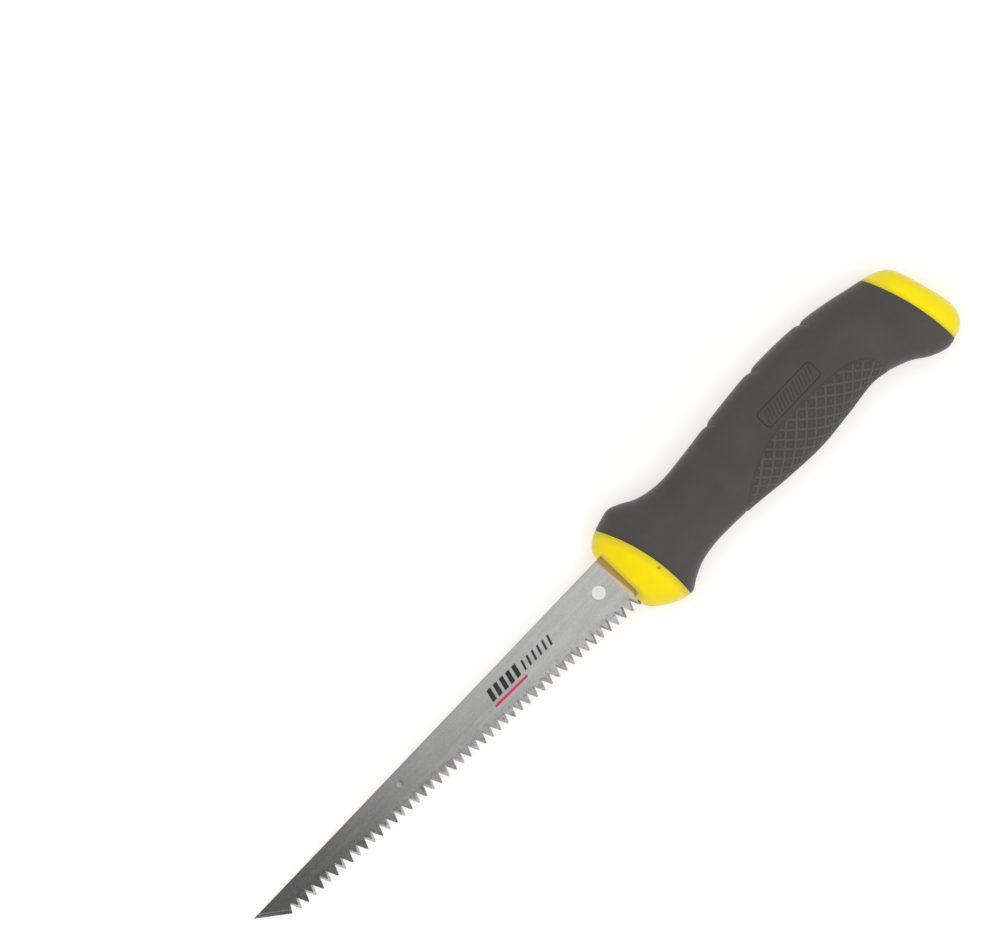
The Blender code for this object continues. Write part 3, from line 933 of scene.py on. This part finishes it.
def pad_depth(x, y):
    """How far points are inside the pad's arch, seen from the side. It is negative outside."""
    steps = 6
    knots = np.array(PAD_ARCH)
    curve = [
        spline(*knots[k : k + 4], t)
        for k in range(len(knots) - 3)
        for t in np.linspace(0, 1, steps + 1)[:-1]
    ]
    curve = np.array([*curve, knots[-2]])
    outline = np.array([(curve[0][0], PAD_FOOT), *curve, (curve[-1][0], PAD_FOOT)])
    inside = np.zeros(x.shape, bool)
    nearest = np.full(x.shape, 1e9)
    for k, (start, end) in enumerate(zip(outline, np.roll(outline, -1, axis=0))):
        crosses = (start[1] > y) != (end[1] > y)
        rise = end[1] - start[1] if end[1] != start[1] else 1e-9
        inside ^= crosses & (x < start[0] + (y - start[1]) * (end[0] - start[0]) / rise)
        if 0 < k < len(outline) - 2:
            along = end - start
            share = ((x - start[0]) * along[0] + (y - start[1]) * along[1]) / (along @ along)
            share = np.clip(share, 0, 1)
            gap = np.hypot(x - start[0] - share * along[0], y - start[1] - share * along[1])
            nearest = np.minimum(nearest, gap)
    return np.where(inside, nearest, -nearest)


def diamond_lines(x, girth):
    """How far points are from the nearest ridge of each family, as shares of their spacing."""
    u = (x - DIAMOND_PHASE) / DIAMOND_LENGTH
    v = girth / DIAMOND_GIRTH
    rising = u + v + 0.5
    falling = u - v + 0.5
    return np.abs(rising - np.round(rising)), np.abs(falling - np.round(falling))


def grip_relief(x, y, column, girth, back):
    """The height of the grip's pad and notches, and how far each point is paler (1), from wear and
    painted light, or darker (-1), from painted shade.
    """
    depth = pad_depth(x, y)
    rising, falling = diamond_lines(x, girth)
    ridge = np.minimum(rising, falling) * DIAMOND_SIDE
    lattice = np.interp(ridge, *np.array(DIAMOND_PROFILE).T)
    inside = smooth_step((depth - 0.1) / 0.45)
    groove = np.exp(-(((depth + 0.15) / 0.28) ** 2))
    relief = inside * (PAD_STEP + lattice) - PAD_GROOVE * groove
    wear_and_painted_light = inside * (lattice / DIAMOND_PROFILE[0][1] * 2 - 1) - groove
    fade = smooth_step((NOTCH_REACH - back) / 5.0)
    for notch in NOTCHES:
        relief += fade * np.interp(column - notch, *np.array(NOTCH_PROFILE).T)
    return relief, wear_and_painted_light


def trail(back, column):
    """How far towards the butt a column runs, so that the notches' ends trail."""
    rise = np.interp(column, NOTCHES, NOTCH_HOOKS) * np.clip(back / NOTCH_REACH, 0, 1)
    gone = smooth_step((back - NOTCH_REACH) / 10.0)
    ends = smooth_step((column - 188.0) / 20.0) * smooth_step((283.0 - column) / 18.0)
    return rise * (1 - gone) * ends


def grip_outside():
    """The outer rings, with each point's column and its girth from the teeth side's line."""
    shift = CLEARANCE / 2
    fine = grip_columns()
    front_turns = grip_rows(FRONT_JOINT[0] + FRONT_JOINT[2] - 2.0)[0]
    rear_turns = grip_rows(REAR_JOINT[0] + REAR_JOINT[2] - 4.0)[0]
    front_mean = joint_x(FRONT_JOINT, front_turns).mean()
    rear_mean = joint_x(REAR_JOINT, rear_turns).mean()
    front_count = int((fine[0] - front_mean) / COARSE_COLUMN)
    rear_count = int((rear_mean - fine[-1]) / COARSE_COLUMN)
    rows = []
    for s in np.linspace(0, 1, front_count + 1)[:-1]:
        turns, girth, back = grip_rows(front_mean + (fine[0] - front_mean) * s)
        start = joint_x(FRONT_JOINT, turns, 0.0, shift) + RUBBER_EDGE
        rows.append((start + (fine[0] - start) * s, turns, girth, back))
    for column in fine:
        turns, girth, back = grip_rows(column)
        rows.append((np.full(len(turns), column), turns, girth, back))
    for s in np.linspace(0, 1, rear_count + 1)[1:]:
        turns, girth, back = grip_rows(fine[-1] + (rear_mean - fine[-1]) * s)
        end = joint_x(REAR_JOINT, turns, 0.0, -shift) - RUBBER_EDGE
        rows.append((fine[-1] + (end - fine[-1]) * s, turns, girth, back))
    column, turns, girth, back = (np.array(part) for part in zip(*rows))
    column_x = column + trail(back, column)
    points = surface(position_at(column_x), turns)
    along = np.gradient(points, axis=0)
    around = np.roll(points, -1, axis=1) - np.roll(points, 1, axis=1)
    normal = np.cross(around, along)
    normal /= np.linalg.norm(normal, axis=-1)[..., None]
    centre = points.mean(axis=1)[:, None]
    outward = np.sign(np.sum(normal * (points - centre), axis=-1))[..., None]
    relief, wear_and_painted_light = grip_relief(points[..., 0], points[..., 1], column, girth, back)
    return points + normal * outward * relief[..., None], wear_and_painted_light, turns, column_x, girth


def split_by_ridges(quads, column, girth, points):
    """Splits the pad's quads along the ridge that is nearest to each, and leaves the others."""
    ring = quads[:, 0] // points
    spot = quads[:, 0] % points
    last = len(column) - 1
    inside = (ring < last) & (column[np.minimum(ring, last), 0] >= FINE_START)
    ring = np.minimum(ring, last - 1)
    after = (spot + 1) % points
    middle_column = (column[ring, spot] + column[ring + 1, after]) / 2
    middle_girth = (girth[ring, spot] + girth[ring, after]) / 2
    inside &= (middle_girth < FINE_GIRTH - 1) & (column[ring, spot] < FINE_END)
    rising, falling = diamond_lines(middle_column, middle_girth)
    mirrored = girth[ring, after] < girth[ring, spot]
    other = (rising < falling) ^ mirrored
    faces = quads[~inside].tolist()
    for corners in ((0, 1, 2), (0, 2, 3)):
        faces += quads[inside & ~other][:, corners].tolist()
    for corners in ((0, 1, 3), (1, 2, 3)):
        faces += quads[inside & other][:, corners].tolist()
    return faces


def make_grip():
    outside, wear_and_painted_light, turns, column, girth = grip_outside()
    shift = CLEARANCE / 2
    front, rear = turns[0], turns[-1]
    rear_face = joint_rings(REAR_JOINT, rear, -shift, RUBBER_EDGE, HOLLOW_INSET, 1)[1:]
    front_face = joint_rings(FRONT_JOINT, front, shift, RUBBER_EDGE, HOLLOW_INSET, -1)[1:]
    rear_x = joint_x(REAR_JOINT, rear, HOLLOW_INSET, -shift)
    front_x = joint_x(FRONT_JOINT, front, HOLLOW_INSET, shift)
    inside = []
    for s in np.linspace(0, 1, 42)[1:-1]:
        x = rear_x + (front_x - rear_x) * s
        inside.append(surface(position_at(x), rear + (front - rear) * s, HOLLOW_INSET))
    rings = np.array([*outside, *rear_face, *inside, *front_face[::-1]])
    count, points = rings.shape[:2]
    quads = ring_quads(count, points, joined=True)
    faces = split_by_ridges(quads, column, girth, points)
    grip = finish_mesh("rubber_grip", rings.reshape(-1, 3), faces, (RUBBER,), 55.0)
    wear_and_painted_light_values = np.zeros(count * points, np.float32)
    wear_and_painted_light_values[: wear_and_painted_light.size] = wear_and_painted_light.ravel()
    grip.data.attributes.new("wear_and_painted_light", "FLOAT", "POINT").data.foreach_set("value", wear_and_painted_light_values)
    for side in (1, -1):
        cut(grip, badge_cutter(side))
    shade(grip, 55.0)
    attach(grip, "root")
    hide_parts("grip")


def side_level(x, y):
    """How far the handle's plain side is from the middle plane, at points on it."""
    _, top, _, bottom, half, power = np.moveaxis(section(position_at(x)), -1, 0)
    share = np.abs(y - (top + bottom) / 2) / ((top - bottom) / 2)
    return half * (1 - share**power) ** (1 / power)


def badge_cutter(side):
    """A thin frame and slanted ribs: a generic badge, sunk into one side of the grip."""
    vertices = []
    faces = []
    outer = dense_stadium(BADGE_SIZE, BADGE_CORNER)
    inner = dense_stadium((BADGE_SIZE[0] - 0.8, BADGE_SIZE[1] - 0.8), BADGE_CORNER - 0.4)
    add_band(vertices, faces, outer, inner, side, 0.35)
    height = BADGE_SIZE[1] / 2 - 1.15
    lean = 0.9
    for k in range(15):
        x = BADGE_CENTRE[0] + (k - 7) * 1.42
        left = [(x - 0.2 + lean * t, BADGE_CENTRE[1] + height * t) for t in np.linspace(-1, 1, 5)]
        right = [(a + 0.4, b) for a, b in left]
        add_strip(vertices, faces, left, right, side, 0.22)
    return finish_mesh("badge", vertices, faces, ())


def dense_stadium(size, corner):
    """A stadium round the badge's centre with extra points along its straight sides."""
    outline = np.array(stadium(BADGE_CENTRE, size, corner))
    points = []
    for start, end in zip(outline, np.roll(outline, -1, axis=0)):
        count = max(1, int(np.linalg.norm(end - start) / 0.9))
        points += [start + (end - start) * k / count for k in range(count)]
    return np.array(points)


def add_band(vertices, faces, outer, inner, side, depth):
    """A closed band between two loops, from a depth below the grip's side to above it."""
    shares = np.linspace(0, 1, 97)[:-1]
    loops = [resample(loop, shares) for loop in (outer, inner)]
    add_strip(vertices, faces, loops[0], loops[1], side, depth, joined=True)


def resample(loop, shares):
    """Points at shares of a closed loop's points."""
    closed = np.vstack([loop, loop[:1]])
    known = np.linspace(0, 1, len(closed))
    return np.stack([np.interp(shares, known, closed[:, k]) for k in (0, 1)], axis=-1)


def add_strip(vertices, faces, left, right, side, depth, joined=False):
    """A closed strip between two lines: left and right, each low and high."""
    above = 0.6
    start = len(vertices)
    count = len(left)
    for level in (-depth, above):
        for line in (left, right):
            line = np.asarray(line)
            levels = side_level(line[:, 0], line[:, 1]) + level
            vertices += [(x, y, side * z) for (x, y), z in zip(line, levels)]
    low_left, low_right, high_left, high_right = (start + k * count for k in range(4))
    edges = (low_left, low_right, high_right, high_left)
    for k in range(count if joined else count - 1):
        after = (k + 1) % count
        for one, other in zip(edges, (*edges[1:], edges[0])):
            faces.append([one + k, one + after, other + after, other + k])
    if not joined:
        for k in (0, count - 1):
            faces.append([edge + k for edge in edges])


# The stage


def make_floor():
    """A round floor, 40 m across, at the level of the object's lowest point."""
    outline = [(x, y, CAD_BOX[0][2]) for x, y in circle((0.0, 0.0), 20.0, 96)]
    mesh = bpy.data.meshes.new("floor")
    mesh.from_pydata(outline, [], [list(range(len(outline)))])
    floor = add_object("floor", mesh)
    mesh.materials.append(floor_look())


def make_world():
    """A bright surround with a dark ceiling, as in a light tent. It is brightest on the teeth side."""
    world = bpy.data.worlds.new("tent")
    bpy.context.scene.world = world
    world.use_nodes = True
    nodes = world.node_tree.nodes
    links = world.node_tree.links
    direction = nodes.new("ShaderNodeTexCoord").outputs["Generated"]
    axes = nodes.new("ShaderNodeSeparateXYZ")
    links.new(direction, axes.inputs[0])
    ceiling = nodes.new("ShaderNodeMapRange")
    ceiling.interpolation_type = "SMOOTHSTEP"
    rise = nodes.new("ShaderNodeMapRange")
    for node, numbers in ((ceiling, (0.65, 0.88, 1.2, 0.1)), (rise, (0.0, 0.1, 0.0, 1.0))):
        links.new(axes.outputs["Z"], node.inputs["Value"])
        for key, number in zip(("From Min", "From Max", "To Min", "To Max"), numbers):
            node.inputs[key].default_value = number
    lean = nodes.new("ShaderNodeVectorMath")
    lean.operation = "DOT_PRODUCT"
    links.new(direction, lean.inputs[0])
    lean.inputs[1].default_value = WORLD_LEAN
    held = nodes.new("ShaderNodeMath")
    held.operation = "MULTIPLY"
    links.new(lean.outputs["Value"], held.inputs[0])
    links.new(rise.outputs["Result"], held.inputs[1])
    factor = nodes.new("ShaderNodeMath")
    factor.operation = "MULTIPLY_ADD"
    links.new(held.outputs["Value"], factor.inputs[0])
    links.new(ceiling.outputs["Result"], factor.inputs[1])
    links.new(ceiling.outputs["Result"], factor.inputs[2])
    links.new(factor.outputs["Value"], nodes["Background"].inputs["Strength"])
    nodes["Background"].inputs["Color"].default_value = (1.0, 1.0, 1.0, 1.0)


def make_overhead():
    """Even light from above that reaches the whole floor, and is not seen in the steel."""
    lamp = bpy.data.lights.new("overhead", "SUN")
    lamp.energy = 2.88
    lamp.angle = math.radians(50.0)
    add_object("overhead", lamp).visible_glossy = False


def make_softbox(name, spot, size, radiance):
    """A soft box that faces straight down and is seen only in reflections.

    radiance is how bright its face is, where 1 is white.
    """
    lamp = bpy.data.lights.new(name, "AREA")
    lamp.shape = "RECTANGLE"
    lamp.size, lamp.size_y = size
    lamp.energy = radiance * math.pi * size[0] * size[1]
    thing = add_object(name, lamp)
    thing.location = place(spot)
    thing.visible_camera = False
    thing.visible_diffuse = False


def make_camera():
    """Straight above the saw, turned so that the saw lies from the lower left to the upper right."""
    camera = add_object("camera", bpy.data.cameras.new("camera"))
    camera.data.sensor_width = 36.0
    camera.data.lens = 400.0
    width = 0.3209  # how much of the blade's plane the picture spans, in metres
    distance = width * camera.data.lens / camera.data.sensor_width
    centre = place((158.22, 41.8, 0.0))
    camera.location = (centre[0], centre[1], centre[2] + distance)
    camera.rotation_euler = (0.0, 0.0, math.radians(-46.286))
    bpy.context.scene.camera = camera


for name in ("tang_pin_1", "tang_pin_2"):
    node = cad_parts[name]
    node.data.materials.clear()
    node.data.materials.append(PIN_STEEL)

make_blade()
make_print()
make_core()
make_cap()
make_grip()
make_floor()
make_world()
make_overhead()
make_softbox("softbox", (303.0, -10.0, 220.0), (0.514, 0.7), 0.51)
make_softbox("inner_softbox", (330.0, -10.0, 221.0), (0.45, 0.7), 0.31)
make_camera()
bpy.context.scene.view_settings.view_transform = "Standard"
